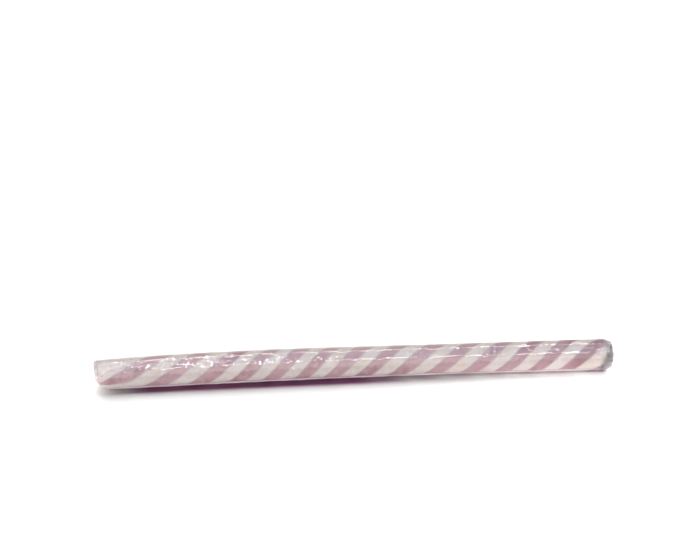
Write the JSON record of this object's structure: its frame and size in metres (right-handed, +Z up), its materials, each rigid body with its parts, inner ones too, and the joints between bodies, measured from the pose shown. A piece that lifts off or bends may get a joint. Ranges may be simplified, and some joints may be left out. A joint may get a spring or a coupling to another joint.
{
  "type": "sour candy stick",
  "caption": "Straight pulled hard candy stick, white with flush mauve spiral stripes, lying on its side in a skin-tight clear wrapper tucked into pleats at both ends.",
  "frame": {"origin": "bottom centre of the whole, on the surface that the stick lies on", "axes": "+X along the stick towards its rounder end, +Z up; the shown side faces -Y and up"},
  "size_m": [0.155, 0.0108, 0.0094],
  "materials": {
    "white_candy": "opaque off-white pulled sugar, smooth and slightly streaky, a little creamier underneath",
    "mauve_candy": "dusty mauve pulled sugar with soft, blotchy edges, flush with the white",
    "wrapper_film": "thin clear glossy film, skin-tight with small puckers, pleated at the ends"
  },
  "bodies": {
    "root": {"candy_body": "white_candy", "stripe_1": "mauve_candy", "stripe_2": "mauve_candy", "stripe_3": "mauve_candy", "wrapper_fold_left": "wrapper_film", "wrapper_fold_right": "wrapper_film"}
  },
  "joints": []
}
